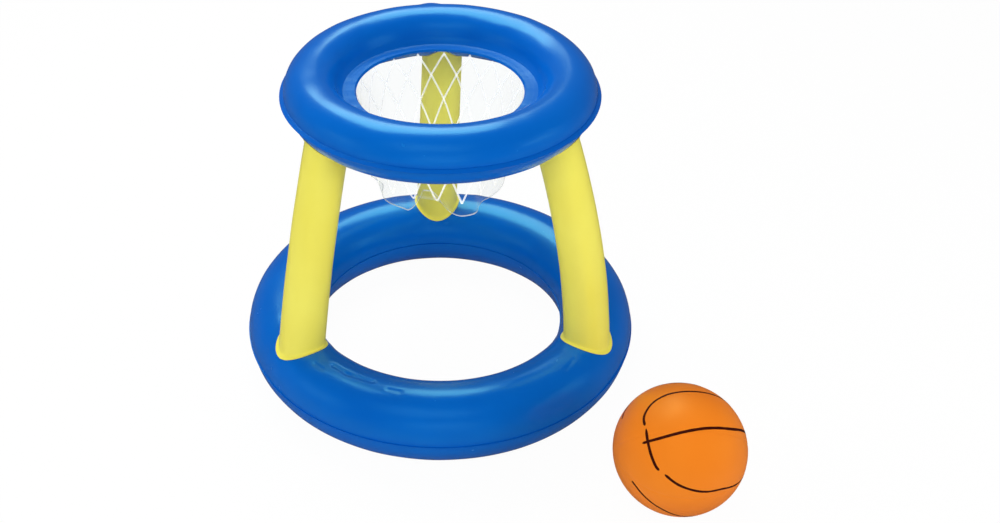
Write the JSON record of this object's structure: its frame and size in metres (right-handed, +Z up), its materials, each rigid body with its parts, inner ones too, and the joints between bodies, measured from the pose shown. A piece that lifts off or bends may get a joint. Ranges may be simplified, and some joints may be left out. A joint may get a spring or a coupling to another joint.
{
  "type": "inflatable pool basketball hoop",
  "caption": "Floating inflatable basketball hoop: a small ring with a clear net skirt held over a wide base ring by three tube legs, with its inflatable ball.",
  "frame": {"origin": "bottom centre of the box round the hoop and the ball beside it, on the surface they stand on", "axes": "+Z up, +Y from the front gap between two legs towards the back leg, +X to the right, with the ball at the front right"},
  "size_m": [0.7232, 0.736, 0.5058],
  "materials": {
    "blue_vinyl": "smooth inflated vinyl sheet, semi-gloss",
    "yellow_vinyl": "smooth inflated vinyl sheet, satin",
    "orange_vinyl": "smooth inflated vinyl sheet with dark printed lines",
    "clear_film": "clear vinyl film with a white printed lattice",
    "clear_soft_vinyl": "moulded clear soft vinyl"
  },
  "bodies": {
    "hoop": {"base_ring_upper_panel": "blue_vinyl", "base_ring_lower_panel": "blue_vinyl", "top_ring_upper_panel": "blue_vinyl", "top_ring_lower_panel": "blue_vinyl", "leg_tube_back": "yellow_vinyl", "leg_tube_left": "yellow_vinyl", "leg_tube_right": "yellow_vinyl", "leg_foot_disc_back": "yellow_vinyl", "leg_foot_disc_left": "yellow_vinyl", "leg_foot_disc_right": "yellow_vinyl", "leg_head_disc_back": "yellow_vinyl", "leg_head_disc_left": "yellow_vinyl", "leg_head_disc_right": "yellow_vinyl", "net_skirt": "clear_film", "base_valve_flange": "clear_soft_vinyl", "top_valve_flange": "clear_soft_vinyl"},
    "base_valve_stem": {"base_valve_stem": "clear_soft_vinyl"},
    "base_valve_plug": {"base_valve_plug": "clear_soft_vinyl"},
    "top_valve_stem": {"top_valve_stem": "clear_soft_vinyl"},
    "top_valve_plug": {"top_valve_plug": "clear_soft_vinyl"},
    "ball": {"ball_gore_1": "orange_vinyl", "ball_gore_2": "orange_vinyl", "ball_gore_3": "orange_vinyl", "ball_gore_4": "orange_vinyl", "ball_gore_5": "orange_vinyl", "ball_gore_6": "orange_vinyl", "ball_pole_disc_left": "orange_vinyl", "ball_pole_disc_right": "orange_vinyl", "ball_valve_flange": "clear_soft_vinyl"},
    "ball_valve_stem": {"ball_valve_stem": "clear_soft_vinyl"},
    "ball_valve_plug": {"ball_valve_plug": "clear_soft_vinyl"}
  },
  "joints": [
    {"name": "ball_lift", "type": "slide", "parent": "hoop", "child": "ball", "axis": [0, 0, 1], "range_m": [0, 0.56]},
    {"name": "base_valve_stem_slide", "type": "slide", "parent": "hoop", "child": "base_valve_stem", "axis": [0.1968, 0.8199, 0.5377], "range_m": [0, 0.008]},
    {"name": "base_valve_plug_hinge", "type": "hinge", "parent": "base_valve_stem", "child": "base_valve_plug", "pos_m": [0.01818, 0.3488, 0.092], "axis": [0.1255, 0.5228, -0.8432], "range_deg": [0, 120]},
    {"name": "top_valve_stem_slide", "type": "slide", "parent": "hoop", "child": "top_valve_stem", "axis": [-0.0655, 0.8328, 0.5497], "range_m": [0, 0.008]},
    {"name": "top_valve_plug_hinge", "type": "hinge", "parent": "top_valve_stem", "child": "top_valve_plug", "pos_m": [-0.06759, 0.27907, 0.49033], "axis": [-0.0431, 0.548, -0.8354], "range_deg": [0, 120]},
    {"name": "ball_valve_stem_slide", "type": "slide", "parent": "ball", "child": "ball_valve_stem", "axis": [0.1246, 0.8992, 0.4193], "range_m": [0, 0.008]},
    {"name": "ball_valve_plug_hinge", "type": "hinge", "parent": "ball_valve_stem", "child": "ball_valve_plug", "pos_m": [0.28281, -0.19027, 0.12485], "axis": [-0.9922, 0.1129, 0.0527], "range_deg": [0, 120]}
  ]
}
